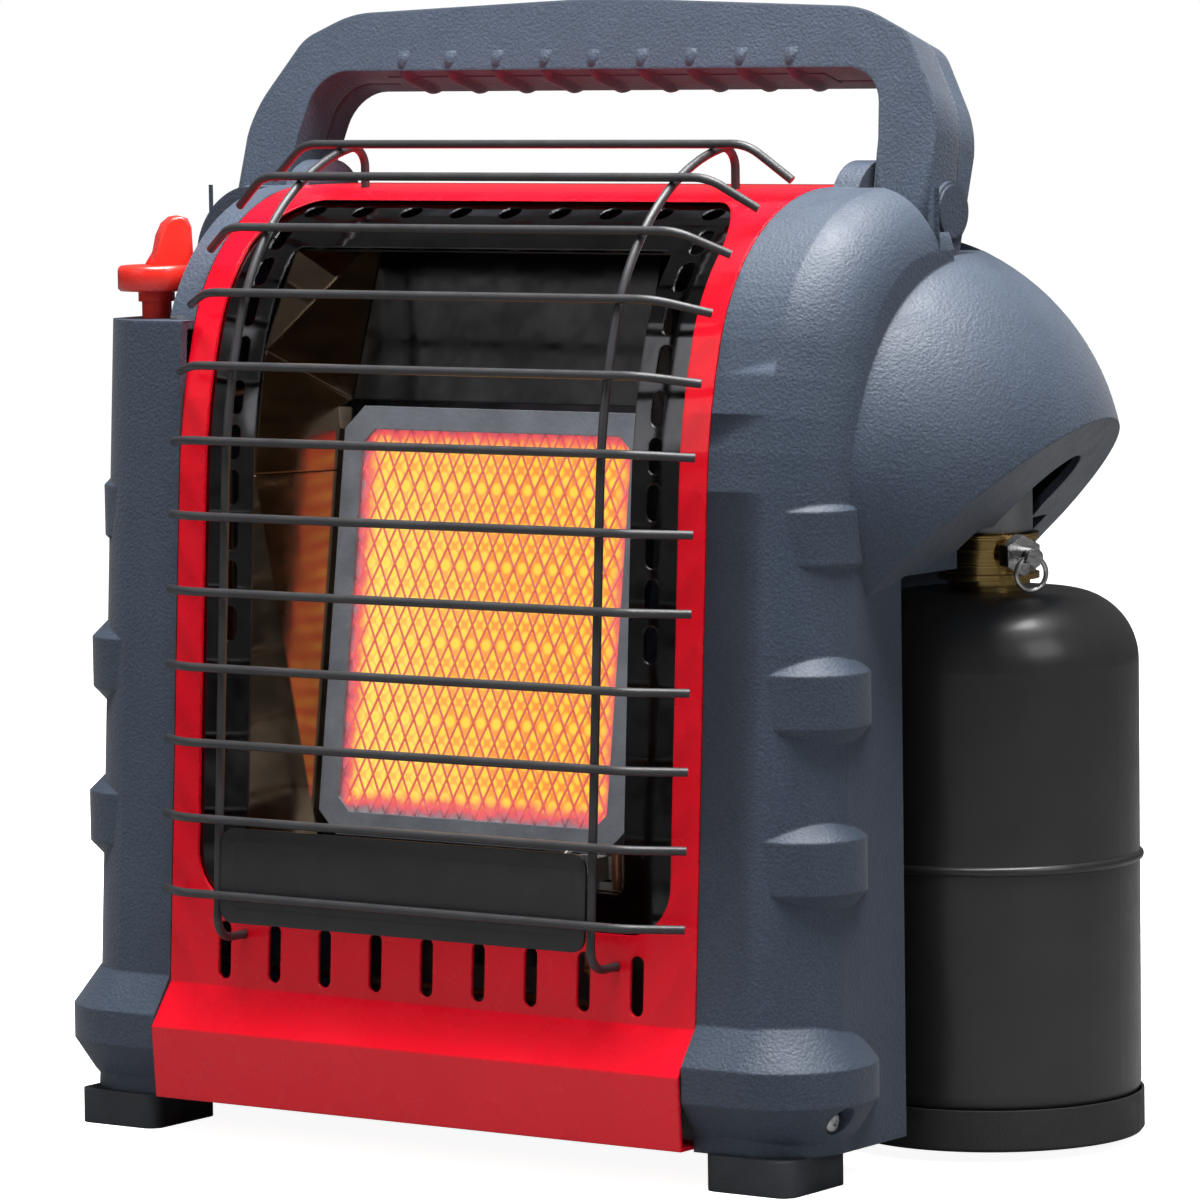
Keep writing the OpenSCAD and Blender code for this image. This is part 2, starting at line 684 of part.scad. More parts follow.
// ---- valve and knob ----
skirt_r = 6.4;
skirt_z = step_z + knob_travel + 0.8;
spindle_gap = 0.05;
flange_z = step_z + knob_lift;
valve_y1 = -30;
module gas_valve() {
    made([0.66, 0.66, 0.67]) difference() {
        union() {
            translate([knob_c[0] - 9.5, -54.4, 234]) cube([19, valve_y1 + 54.4, 30]);
            translate([knob_c[0], knob_c[1], 263]) cylinder(h = step_z - wall - 263.1, r = 10);
            for (p = [[-137, 252], [-130.5, 241], [-143.5, 241]]) translate([p[0], valve_y1 - 1, p[1]])
                rotate([-90, 0, 0]) cylinder(h = 7, r = 4.4);
        }
        translate([knob_c[0], knob_c[1], 246]) cylinder(h = 40, r = stem_r + 0.06);
        for (p = [[-137, 252, 3], [-130.5, 241, 2.6], [-143.5, 241, 1.6]])
            translate([p[0], valve_y1 - 6, p[1]]) rotate([-90, 0, 0]) cylinder(h = 20, r = p[2]);
    }
}
module valve_stem() {
    made(brass_col) translate([knob_c[0], knob_c[1], 247]) cylinder(h = flange_z + 2 - 247, r = stem_r);
}
module knob_spindle() {
    made(red_col) translate([knob_c[0], knob_c[1], 0]) difference() {
        translate([0, 0, step_z - 2]) cylinder(h = flange_z - 1 - step_z + 2, r = spindle_r);
        translate([0, 0, step_z - 4]) cylinder(h = 30, r = stem_r + spindle_gap);
    }
}
module knob() {
    made(red_col) translate([knob_c[0], knob_c[1], 0]) difference() {
        union() {
            translate([0, 0, skirt_z]) cylinder(h = flange_z + 1 - skirt_z, r = skirt_r);
            translate([0, 0, flange_z]) cylinder(h = 7.5, r = knob_r);
            translate([0, 0, flange_z + 7.5]) cylinder(h = 1.5, r1 = knob_r, r2 = knob_r - 1.5);
            rotate([0, 0, knob_set]) translate([0, -7.5, flange_z + 4]) {
                cube([12.6, 15, 22]);
                translate([1.6, 1.6, 21]) cube([9.4, 11.8, 4]);
            }
        }
        translate([0, 0, step_z - 6]) cylinder(h = flange_z - step_z + 14, r = stem_r + spindle_gap);
        translate([0, 0, step_z]) cylinder(h = knob_lift - 0.5 + knob_travel, r = spindle_r + spindle_gap);
    }
}
module burner_gas_tube() {
    made(copper_col) wire([[-130.5, -31, 241], [-130.5, -18, 241], [-130.5, -18, 34],
        [0, mix_c[1], 34], [0, mix_c[1], 46]], 2.5);
}
module pilot_gas_tube() {
    made(copper_col) wire([[-143.5, -31, 241], [-143.5, -22, 241], [-143.5, -22, 50],
        [56, -44, 50], [56, pilot_y, 66], [56, pilot_y, 80]], 1.5);
}
module main_gas_tube() {
    made(copper_col) wire([[112, gas_c[1], 246], [98, gas_c[1], 246], [98, 70, 246],
        [-128, 70, 246], [-137, 50, 252], [-137, valve_y1 - 2, 252]], 2.9);
}

// ---- regulator and cylinder, all on one axis ----
module on_gas() translate([gas_c[0], gas_c[1], 0]) children();
module regulator_inlet() {
    made(zinc_col) on_gas() difference() {
        union() {
            translate([0, 0, 208]) cylinder(h = 14, r = 15);
            translate([0, 0, 222]) cylinder(h = 11, r1 = 15, r2 = 18);
        }
        translate([0, 0, 207]) cylinder(h = 16.2, r = spigot_r + spigot_gap);
        translate([0, 0, 215]) cylinder(h = 20, r = 4);
    }
}
module inlet_seal() {
    made(rubber_col) on_gas() translate([0, 0, 221.4]) difference() {
        cylinder(h = 1.8, r = 11);
        translate([0, 0, -1]) cylinder(h = 4, r = 4.5);
    }
}
module regulator_body() {
    made(zinc_col) difference() {
        on_gas() union() {
            translate([0, 0, 233]) cylinder(h = 6.2, r1 = 24, r2 = 28);
            translate([0, 0, 239.2]) cylinder(h = 15, r = 28);
            translate([-40, 0, 246]) rotate([0, 90, 0]) cylinder(h = 30, r = 5.5);
        }
        on_gas() translate([0, 0, 230]) cylinder(h = 12, r = 4);
        on_gas() translate([-41, 0, 246]) rotate([0, 90, 0]) cylinder(h = 20, r = 3);
    }
}
module regulator_cap() {
    made(zinc_col) on_gas() difference() {
        union() {
            translate([0, 0, 254.2]) cylinder(h = 3.2, r = 28);
            translate([0, 0, 257.4]) cylinder(h = 9, r1 = 24, r2 = 20);
            translate([0, 0, 266]) cylinder(h = 0.4, r = 12);
        }
        translate([13, 0, 255]) cylinder(h = 14, r = 1.5);
    }
}
module cyl_side(o) {
    r = cyl_r - o;
    translate([0, 22]) square([r, cyl_top - 24 - 22]);
    translate([0, 12 + o]) square([r - 10 + o, cyl_top - 12 - 2 * o - 10]);
    translate([0, 12 + o]) square([r - 24 + o, cyl_top - 12 - 2 * o]);
    translate([cyl_r - 10, 22]) intersection() { circle(10 - o); translate([0, -20]) square(20); }
    translate([cyl_r - 24, cyl_top - 24]) intersection() { circle(24 - o); square(30); }
}
module cylinder_body() {
    made(black_col) on_gas() difference() {
        rotate_extrude() {
            cyl_side(0);
            translate([cyl_r - 0.4, 98]) circle(1.7);
        }
        rotate_extrude() cyl_side(1.6);
        translate([0, 0, cyl_top - 6]) cylinder(h = 12, r = 12);
    }
}
module cylinder_foot() {
    made(rubber_col) on_gas() rotate_extrude() polygon([[38, cyl_z], [cyl_r + 0.2, cyl_z],
        [cyl_r + 1, cyl_z + 1], [cyl_r + 1, 18], [cyl_r + 0.05, 18], [cyl_r + 0.05, 11.8], [38, 11.8]]);
}
relief_a = -30;
relief_z = 201;
module cylinder_valve() {
    made(brass_col) on_gas() difference() {
        union() {
            translate([0, 0, cyl_top - 4]) cylinder(h = 6.2, r = 11.95);
            translate([0, 0, cyl_top + 2]) cylinder(h = 2, r = 14);
            translate([0, 0, cyl_top + 4]) cylinder(h = 15.5, r = valve_r);
            translate([0, 0, cyl_top + 4]) cylinder(h = 2, r = valve_r + 1.2);
            translate([0, 0, cyl_top + 17.5]) cylinder(h = 2, r = valve_r + 1.2);
            translate([0, 0, cyl_top + 19]) cylinder(h = 14, r = spigot_r);
            translate([0, 0, relief_z]) rotate([0, 0, relief_a]) rotate([0, 90, 0])
                cylinder(h = valve_r + 2.9, r = 6);
        }
        translate([0, 0, cyl_top - 10]) cylinder(h = 60, r = 4);
        translate([0, 0, relief_z]) rotate([0, 0, relief_a]) rotate([0, 90, 0])
            translate([0, 0, 8]) cylinder(h = 20, r = 3.5);
    }
}
ring_x = valve_r + 14;
module on_relief() on_gas() translate([0, 0, relief_z]) rotate([0, 0, relief_a]) children();
module relief_valve() {
    made(steel_col) on_relief() difference() {
        union() {
            translate([8.5, 0, 0]) rotate([0, 90, 0]) cylinder(h = valve_r + 3 - 8.5, r = 3.45);
            translate([valve_r + 3, 0, 0]) rotate([0, 90, 0]) cylinder(h = 6, r = 7, $fn = 6);
            translate([valve_r + 8, 0, 0]) rotate([0, 90, 0]) cylinder(h = 9, r = 3);
        }
        translate([ring_x, -6, 0]) rotate([-90, 0, 0]) cylinder(h = 12, r = 2.05);
    }
}
ring_r = 5.6;
module relief_ring() {
    made(steel_col) on_relief() translate([ring_x, 0, -ring_r]) rotate([0, 90, 0])
        rotate_extrude() translate([ring_r, 0]) circle(0.85);
}

// ---- handle ----
arm_hw = grip_w / 2;
// corner b between a and c, rounded with radius r
function fillet(a, b, c, r, n = 7) = let (u = (a - b) / norm(a - b), v = (c - b) / norm(c - b),
    half = acos(u * v) / 2, m = b + (u + v) / norm(u + v) * r / sin(half),
    s = sign(u[0] * v[1] - u[1] * v[0]), a0 = atan2(-s * u[0], s * u[1]))
    [for (i = [0:n]) let (t = a0 - s * (180 - 2 * half) * i / n) m + r * [cos(t), sin(t)]];
grip_top = bar_rise + arm_hw;
half_out = [[arm_x + arm_hw + 1.5, -20], [arm_x + arm_hw - 3.5, 32], [arm_x - 8, grip_top - 12.7],
    [arm_x - 27.5, grip_top - 3.7], [0, grip_top + 0.8]];
half_in = [[arm_x - arm_hw, -20], [arm_x - arm_hw, 20], [arm_x - arm_hw - 4.5, bar_rise - arm_hw],
    [0, bar_rise - arm_hw]];
grip_half = concat([half_out[0]], fillet(half_out[0], half_out[1], half_out[2], 40),
    fillet(half_out[1], half_out[2], half_out[3], 15), fillet(half_out[2], half_out[3], half_out[4], 40),
    [half_out[4]]);
grip_inner = concat([half_in[0]], fillet(half_in[0], half_in[1], half_in[2], 30, 3),
    fillet(half_in[1], half_in[2], half_in[3], 15));
function flip(p) = [for (q = rev(p)) [-q[0], q[1]]];
grip_line = concat(grip_half, [for (i = [1:len(grip_half) - 1]) flip(grip_half)[i]],
    rev(flip(grip_inner)), rev(grip_inner));
module raised() translate([0, pivot_y, pivot_z]) rotate([-handle_lean, 0, 0]) children();
liner_w = 12;
module handle() {
    made(shell_col) difference() {
        raised() intersection() {
            along_y(-grip_d / 2, grip_d / 2) polygon(grip_line);
            union() {
                translate([-200, 0, 0]) rotate([0, 90, 0]) cylinder(h = 400, r = 16.5);
                translate([-200, -30, 0]) cube([400, 60, 90]);
            }
        }
        for (s = [0, 1]) mirror([s, 0, 0]) {
            bore_x(100, 160, pin_r + pin_gap);
            bore_x(arm_out, 160, cap_r + 0.2);
        }
        raised() translate([-93, -liner_w / 2, bar_rise - grip_w / 2 - 1]) cube([186, liner_w, 3]);
    }
}
module handle_liner() {
    z = bar_rise - grip_w / 2;
    made(shell_col) raised() {
        translate([-92.8, -liner_w / 2 + 0.2, z + 0.2]) cube([185.6, liner_w - 0.4, 1.7]);
        for (i = [-4:4]) translate([i * 20.5, 0, z + 0.6]) along_y(0.2 - liner_w / 2, liner_w / 2 - 0.2)
            polygon([[-3.4, 0], [3.4, 0], [2, -2.4], [1, -3], [-1, -3], [-2, -2.4]]);
    }
}
arm_out = arm_x + grip_w / 2 - 1.6;
cap_r = 10;
module handle_pins() {
    made(steel_col) for (s = [0, 1]) mirror([s, 0, 0]) bore_x(109, arm_out - 0.4, pin_r);
}
module handle_washers() {
    made(steel_col) for (s = [0, 1]) mirror([s, 0, 0]) difference() {
        bore_x(lug_x1 + 0.1, arm_x - grip_w / 2 - 0.5, 8);
        bore_x(100, 140, pin_r);
    }
}
module handle_caps() {
    made(shell_col) for (s = [0, 1]) mirror([s, 0, 0]) {
        bore_x(arm_out, arm_x + grip_w / 2 + 0.4, cap_r);
        bore_x(arm_x + grip_w / 2 + 0.4, arm_x + grip_w / 2 + 1.2, cap_r - 1);
    }
}

// ---- guard ----
pw = wire_d / 2;
function bar_at(i, o) = path(i * bar_pitch, o);
bend_r = 16;
up_o = bar_out - wire_d - 0.1;
up_r = 7;
up_low = path(-8, up_o);
up_fc = [up_low[0] + up_r * sin(h0), up_low[1] - up_r * cos(h0)];
foot_in = up_fc[1] - up_r;
up_tc = quick_c + (top_r + up_o) * [-sin(11), cos(11)] + up_r * [sin(11), -cos(11)];
module guard_bars() {
    run = tip_hw - straight_hw;
    made(wire_col) for (i = [0:bar_n - 1]) {
        a = bar_at(i, bar_out);
        b = bar_at(i, tip_out);
        l = norm([b[0] - a[0], b[1] - a[1]]);
        turn = atan2(l, run);
        t = bend_r * tan(turn / 2);
        translate([0, a[0], a[1]]) rotate([atan2(b[1] - a[1], b[0] - a[0]), 0, 0]) {
            rod([-straight_hw + t, 0, 0], [straight_hw - t, 0, 0], pw, $fn = 48);
            g = weld / bend_r * 180 / PI;
            for (s = [0, 1]) mirror([s, 0, 0]) {
                translate([straight_hw - t, bend_r, 0]) rotate([0, 0, g - 90])
                    rotate_extrude(angle = turn - 2 * g) translate([bend_r, 0]) circle(pw, $fn = 48);
                rod([straight_hw + t * cos(turn), t * sin(turn), 0], [tip_hw, l, 0], pw, $fn = 48);
            }
        }
    }
}
module guard_uprights() {
    r = up_r;
    low = up_low;
    fc = up_fc;
    tc = up_tc;
    made(wire_col) for (s = [-1, 1]) translate([s * upright_hw, 0, 0]) {
        rod([0, fc[0], fc[1] - r], [0, face_y + 3, fc[1] - r], pw, $fn = 48);
        arc_yz(fc, r, 180, h0, pw);
        rod([0, low[0], low[1]], [0, path(s1, up_o)[0], path(s1, up_o)[1]], pw, $fn = 48);
        arc_yz(slow_c, slow_r + up_o, h0, h1, pw);
        arc_yz(quick_c, top_r + up_o, h1, 11, pw);
        arc_yz(tc, r, 11, -90, pw);
        rod([0, tc[0] + r, tc[1]], [0, tc[0] + r, 315], pw, $fn = 48);
    }
}
module guard_plate() {
    a = path(-9, bar_out - pw - 0.8);
    b = path(bar_pitch - 2.5, bar_out - pw - 0.8);
    made(wire_col) hull() {
        rod([-upright_hw + 1.8, a[0], a[1]], [upright_hw - 1.8, a[0], a[1]], 0.5, $fn = 16);
        rod([-upright_hw + 1.8, b[0], b[1]], [upright_hw - 1.8, b[0], b[1]], 0.5, $fn = 16);
    }
}

// ---- feet and screws ----
module foot(x, y, w, d) {
    translate([x, y, 0]) linear_extrude(foot_h) rounded(w, d, 5);
}
module front_feet() {
    made(rubber_col) for (s = [0, 1]) mirror([s, 0, 0]) foot(132, -66, 34, 36);
}
module rear_feet() {
    made(rubber_col) {
        foot(-132, 84, 34, 34);
        foot(76, 84, 34, 34);
    }
}
module shell_screws() {
    made(steel_col) {
        for (p = [[1, -66], [-1, -66], [-1, 78]]) translate([p[0] * (body_hw - 0.9), p[1], screw_z])
            rotate([0, p[0] * 90, 0]) {
                cylinder(h = 2.6, r = 4.1);
                translate([0, 0, -12]) cylinder(h = 12, r = 2);
            }
    }
}
module rear_screws() {
    made(steel_col) for (x = [-104, 104], z = [40, 160, 280]) translate([x, rear_y, z])
        rotate([-90, 0, 0]) {
            cylinder(h = 1.8, r = 3.6);
            translate([0, 0, -4]) cylinder(h = 5, r = 1.7);
        }
}

front_panel();
left_shell();
left_arch();
right_shell();
rear_panel();
base_pan();
heat_shield();
reflector_frame();
reflector_sides();
reflector_top();
reflector_floor();
burner_case();
burner_tile();
burner_screen();
burner_plenum();
venturi_tube();
gas_orifice();
pilot_bracket();
pilot_burner();
igniter_electrode();
thermocouple();
tip_switch();
gas_valve();
valve_stem();
knob_spindle();
knob();
burner_gas_tube();
pilot_gas_tube();
main_gas_tube();
regulator_body();
regulator_cap();
regulator_inlet();
inlet_seal();
cylinder_body();
cylinder_foot();
cylinder_valve();
relief_valve();
relief_ring();
handle();
handle_liner();
handle_pins();
handle_washers();
handle_caps();
guard_bars();
guard_uprights();
guard_plate();
front_feet();
rear_feet();
shell_screws();
rear_screws();
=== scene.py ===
import bpy
import bmesh
import math
from mathutils import Matrix, Vector


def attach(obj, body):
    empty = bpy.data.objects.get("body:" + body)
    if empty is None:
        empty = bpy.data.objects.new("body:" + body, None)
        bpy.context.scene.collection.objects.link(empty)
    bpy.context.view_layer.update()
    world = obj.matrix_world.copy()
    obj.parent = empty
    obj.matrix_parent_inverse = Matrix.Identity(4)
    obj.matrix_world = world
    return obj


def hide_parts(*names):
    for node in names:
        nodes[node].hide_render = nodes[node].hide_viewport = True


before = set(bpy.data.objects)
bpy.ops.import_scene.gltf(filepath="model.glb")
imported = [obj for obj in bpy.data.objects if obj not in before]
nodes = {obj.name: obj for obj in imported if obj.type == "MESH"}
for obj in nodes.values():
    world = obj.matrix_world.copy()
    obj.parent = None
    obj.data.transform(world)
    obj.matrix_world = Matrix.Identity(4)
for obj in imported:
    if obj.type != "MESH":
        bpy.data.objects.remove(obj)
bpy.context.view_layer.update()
scene = bpy.context.scene

# ---------------------------------------------------------------- camera
CAM_AZ, CAM_EL, CAM_ROLL = 35.2, 5.1, 0.8  # degrees
CAM_TARGET, CAM_DIST = (0.0009, -0.0044, 0.1832), 2.2374  # metres
CAM_SENSOR, CAM_LENS = 36, 195.42  # mm
CAM_NEAR, CAM_FAR = 0.05, 60  # metres


def place_camera():
    az, el, roll = math.radians(CAM_AZ), math.radians(CAM_EL), math.radians(CAM_ROLL)
    back = Vector((math.sin(az) * math.cos(el), -math.cos(az) * math.cos(el), math.sin(el)))
    right = Vector((math.cos(az), math.sin(az), 0))
    up = back.cross(right)
    r = right * math.cos(roll) - up * math.sin(roll)
    u = right * math.sin(roll) + up * math.cos(roll)
    pos = Vector(CAM_TARGET) + back * CAM_DIST
    data = bpy.data.cameras.new("camera")
    data.sensor_width = CAM_SENSOR
    data.lens = CAM_LENS
    data.clip_start, data.clip_end = CAM_NEAR, CAM_FAR
    cam = bpy.data.objects.new("camera", data)
    scene.collection.objects.link(cam)
    cam.matrix_world = Matrix(((r.x, u.x, back.x, pos.x), (r.y, u.y, back.y, pos.y),
                               (r.z, u.z, back.z, pos.z), (0, 0, 0, 1)))
    scene.camera = cam


place_camera()

# ---------------------------------------------------------------- sizes shared with the CAD, mm
MID = (17.3, 4.4)  # where the frame's origin lies in the CAD's plan
FACE_Y, LIP_Z, LEAN = -79.5, 52.0, 3.4  # front face at the lip, and how far it leans back
BODY_HW = 154.0  # half the body's width
BURNER_C, BURNER_LEAN = (0, -43.5, 177), 8.1
BURNER_W, BURNER_H, RIM_W = 129.0, 148.0, 8.0
PIVOT, HANDLE_LEAN = (22.0, 316.5), 18.0  # the handle's pins (y, z) and its lean at rest
GRIP_D, BAR_RISE, BAR_HALF = 25.0, 59.2, 12.5  # grip depth, bar centre over the pins, half its height
GRIP_ROUND = 7.2  # rounding of the grip's long edges
KNOB_C, STEP_Z, KNOB_SET = (-137.0, -46.5), 280.0, 46.0
SCREW_Z = 24.0

GLOW_OVER = 2.4  # how far the glow runs in behind the burner's rim, mm


def dsin(a): return math.sin(math.radians(a))
def dcos(a): return math.cos(math.radians(a))


def W(x, y, z):
    """CAD millimetres to the frame in metres."""
    return Vector(((x - MID[0]) / 1000, (y - MID[1]) / 1000, z / 1000))


def burner_local(x, y, z):
    """y in front of the burner's centre, z up along its slanting face."""
    a = BURNER_LEAN
    return W(BURNER_C[0] + x, BURNER_C[1] + y * dcos(a) + z * dsin(a),
             BURNER_C[2] - y * dsin(a) + z * dcos(a))


def raised(x, y, z):
    """From the handle's pins, z up along the raised handle."""
    a = HANDLE_LEAN
    return W(x, PIVOT[0] + y * dcos(a) + z * dsin(a), PIVOT[1] - y * dsin(a) + z * dcos(a))


def leaned(x, o, z):
    """o in front of the straight part of the face, z up along it."""
    return W(x, FACE_Y + (z - LIP_Z) * dsin(LEAN) - o * dcos(LEAN),
             LIP_Z + (z - LIP_Z) * dcos(LEAN) + o * dsin(LEAN))


# ---------------------------------------------------------------- materials
class Mat:
    """A material's node tree, built up from its Principled shader."""
    NAMES = dict(color="Base Color", rough="Roughness", metal="Metallic", coat="Coat Weight",
                 coat_rough="Coat Roughness", spec="Specular IOR Level", sheen="Sheen Weight",
                 sheen_rough="Sheen Roughness")
    MIX_FACTOR, MIX_A, MIX_B, MIX_RESULT = 0, 6, 7, 2  # sockets of a colour Mix node
    BEVEL_SAMPLES = 2

    def __init__(self, name):
        self.m = bpy.data.materials.new(name)
        self.m.use_nodes = True
        self.t = self.m.node_tree
        self.b = self.t.nodes["Principled BSDF"]
        self.tc = self.n("ShaderNodeTexCoord")

    def n(self, kind): return self.t.nodes.new(kind)

    def link(self, a, b): self.t.links.new(a, b)

    def to(self, out, name): self.link(out, self.b.inputs[name])

    def set(self, **kw):
        for k, v in kw.items():
            self.b.inputs[self.NAMES[k]].default_value = (*v, 1) if k == "color" else v

    def noise(self, scale, detail=3, rough=0.55, stretch=None):
        t = self.n("ShaderNodeTexNoise")
        t.inputs["Scale"].default_value = scale
        t.inputs["Detail"].default_value = detail
        t.inputs["Roughness"].default_value = rough
        at = self.tc.outputs["Object"]
        if stretch:
            mapping = self.n("ShaderNodeMapping")
            mapping.inputs["Scale"].default_value = stretch
            self.link(at, mapping.inputs["Vector"])
            at = mapping.outputs["Vector"]
        self.link(at, t.inputs["Vector"])
        return t.outputs["Fac"]

    def ramp(self, fac, stops):
        """Colour ramp through stops of (position, grey or colour)."""
        r = self.n("ShaderNodeValToRGB")
        e = r.color_ramp.elements
        while len(e) < len(stops):
            e.new(0.5)
        for i, (p, c) in enumerate(stops):
            e[i].position = p
            e[i].color = (*c, 1) if hasattr(c, "__len__") else (c, c, c, 1)
        self.link(fac, r.inputs["Fac"])
        return r.outputs["Color"]

    def feed(self, socket, v):
        """A number is set on the socket, an output is linked to it."""
        if isinstance(v, (int, float)):
            socket.default_value = v
        else:
            self.link(v, socket)

    def math(self, op, *values):
        x = self.n("ShaderNodeMath")
        x.operation = op
        for socket, v in zip(x.inputs, values):
            self.feed(socket, v)
        return x.outputs[0]

    def mix(self, fac, a, b, blend="MIX"):
        x = self.n("ShaderNodeMix")
        x.data_type = "RGBA"
        x.blend_type = blend
        self.feed(x.inputs[self.MIX_FACTOR], fac)
        self.link(a, x.inputs[self.MIX_A])
        self.link(b, x.inputs[self.MIX_B])
        return x.outputs[self.MIX_RESULT]

    def bump(self, height, dist, strength=1.0, soft=0.0):
        """Fine relief of dist metres, over edges softened by the radius soft."""
        x = self.n("ShaderNodeBump")
        x.inputs["Distance"].default_value = dist
        x.inputs["Strength"].default_value = strength
        self.link(height, x.inputs["Height"])
        if soft:
            bevel = self.n("ShaderNodeBevel")
            bevel.samples = self.BEVEL_SAMPLES
            bevel.inputs["Radius"].default_value = soft
            self.link(bevel.outputs["Normal"], x.inputs["Normal"])
        self.to(x.outputs["Normal"], "Normal")


def plain(name, color, rough, metal=0.0, vary=0.12, grain=(900, 0.00008), soft=0.0006, **kw):
    """Base material: colour and roughness that vary in patches, fine grain, softened edges."""
    colour_patch, rough_patch, rough_span = 60, 138, 0.07
    m = Mat(name)
    m.set(color=color, rough=rough, metal=metal, **kw)
    lo = tuple(c * (1 - vary) for c in color)
    hi = tuple(min(1, c * (1 + vary)) for c in color)
    m.to(m.ramp(m.noise(colour_patch, 4), [(0.3, lo), (0.7, hi)]), "Base Color")
    m.to(m.ramp(m.noise(rough_patch, 3), [(0.3, max(0.02, rough - rough_span)),
                                          (0.7, min(1, rough + rough_span))]), "Roughness")
    m.bump(m.noise(grain[0], 2), grain[1], soft=soft)
    return m


def shell_material():
    """Slate-blue moulded plastic with a leather grain."""
    m = Mat("shell_plastic")
    m.set(rough=0.5, spec=0.45, sheen=0.12, sheen_rough=0.5)
    base = m.ramp(m.noise(28, 4), [(0.3, (0.033, 0.048, 0.076)), (0.7, (0.042, 0.060, 0.093))])
    pits = m.noise(1500, 2, 0.6)
    dots = m.ramp(pits, [(0.40, 0.80), (0.62, 1.18)])
    m.to(m.mix(1, base, dots, "MULTIPLY"), "Base Color")
    m.to(m.ramp(m.noise(90, 3), [(0.3, 0.46), (0.7, 0.58)]), "Roughness")
    cells = m.n("ShaderNodeTexVoronoi")
    cells.feature = "SMOOTH_F1"
    cells.inputs["Scale"].default_value = 900
    m.link(m.tc.outputs["Object"], cells.inputs["Vector"])
    height = m.math("ADD", m.math("MULTIPLY", cells.outputs["Distance"], 0.7),
                    m.math("MULTIPLY", pits, 0.6))
    m.bump(height, 0.00028, 0.8, soft=0.0014)
    return m


def red_material():
    m = Mat("red_enamel")
    m.set(rough=0.26, coat=0.35, coat_rough=0.06, spec=0.32)
    m.to(m.ramp(m.noise(14, 4), [(0.3, (0.80, 0.002, 0.014)), (0.7, (0.90, 0.003, 0.020))]),
         "Base Color")
    m.to(m.ramp(m.noise(60, 3), [(0.35, 0.22), (0.7, 0.33)]), "Roughness")
    m.bump(m.noise(260, 2), 0.00006, 0.8, soft=0.0012)
    return m


def burner_mask(m):
    """Distance in from the burner rim with a ragged edge, and the two coordinates, all in mm."""
    raggedness, low_edge = 7.5, 1.5
    sep = m.n("ShaderNodeSeparateXYZ")
    m.link(m.tc.outputs["Object"], sep.inputs[0])
    u = m.math("MULTIPLY", m.math("ADD", sep.outputs["X"], MID[0] / 1000), 1000)
    v = m.math("MULTIPLY", m.math("SUBTRACT", sep.outputs["Z"], BURNER_C[2] / 1000),
               1000 / dcos(BURNER_LEAN))
    du = m.math("SUBTRACT", BURNER_W / 2 - RIM_W + GLOW_OVER, m.math("ABSOLUTE", u))
    dv = m.math("SUBTRACT", BURNER_H / 2 - RIM_W + GLOW_OVER, m.math("ABSOLUTE", v))
    low = m.math("LESS_THAN", v, 0)
    d = m.math("MINIMUM", du, m.math("SUBTRACT", dv, m.math("MULTIPLY", low, low_edge)))
    rag = m.math("MULTIPLY", m.math("SUBTRACT", m.noise(190, 4, 0.6), 0.5), raggedness)
    return m.math("ADD", d, rag), u, v


GLOW_FADE = 14  # mm over which the glow grows from the rim inwards


def tile_material():
    """Glowing ceramic: rows of hot cells, hotter to the left, dying out at the rim."""
    m = Mat("glow_ceramic")
    d, u, v = burner_mask(m)
    m.set(color=(0.62, 0.56, 0.52), rough=0.8)
    cell_scale, cell_slant = 0.155, 0.97
    cell = m.n("ShaderNodeTexVoronoi")
    cell.inputs["Randomness"].default_value = 0
    cell.inputs["Scale"].default_value = 1
    comb = m.n("ShaderNodeCombineXYZ")
    for k, op in enumerate(("ADD", "SUBTRACT")):
        slanted = m.math(op, u, m.math("MULTIPLY", v, cell_slant))
        m.link(m.math("MULTIPLY", slanted, cell_scale), comb.inputs[k])
    m.link(comb.outputs[0], cell.inputs["Vector"])
    blob = cell.outputs["Distance"]
    hot = m.ramp(blob, [(0.0, (0.95, 0.52, 0.02)), (0.055, (1.0, 0.62, 0.05)),
                        (0.10, (1.0, 0.72, 0.07)), (0.34, (1.0, 0.60, 0.05)),
                        (0.52, (0.95, 0.30, 0.05))])
    hotter = m.ramp(blob, [(0.0, (1.0, 0.70, 0.06)), (0.34, (1.0, 0.80, 0.14)),
                           (0.55, (1.0, 0.55, 0.10))])
    side = m.math("ADD", m.math("MULTIPLY", u, -0.010),
                  m.math("MULTIPLY", m.math("ADD", v, 12), -0.002))
    heat = m.math("ADD", m.noise(20, 2, 0.5), side)
    body = m.mix(m.ramp(heat, [(0.35, 0.0), (0.95, 1.0)]), hot, hotter)
    depth = m.math("DIVIDE", d, GLOW_FADE)
    edge = m.ramp(depth, [(0.0, (0.10, 0.09, 0.11)), (0.13, (0.28, 0.07, 0.10)),
                          (0.26, (0.80, 0.08, 0.10)), (0.48, (0.95, 0.30, 0.12)),
                          (0.72, (1, 0.55, 0.1))])
    inner = m.ramp(depth, [(0.34, 0.0), (0.66, 1.0)])
    m.to(m.mix(inner, edge, body), "Emission Color")
    m.b.inputs["Emission Strength"].default_value = 1.0
    m.to(m.ramp(m.math("DIVIDE", d, 10), [(0.0, (0.40, 0.38, 0.38)), (0.5, (0.05, 0.03, 0.02))]),
         "Base Color")
    m.bump(m.noise(700, 2), 0.0002, 0.6)
    return m


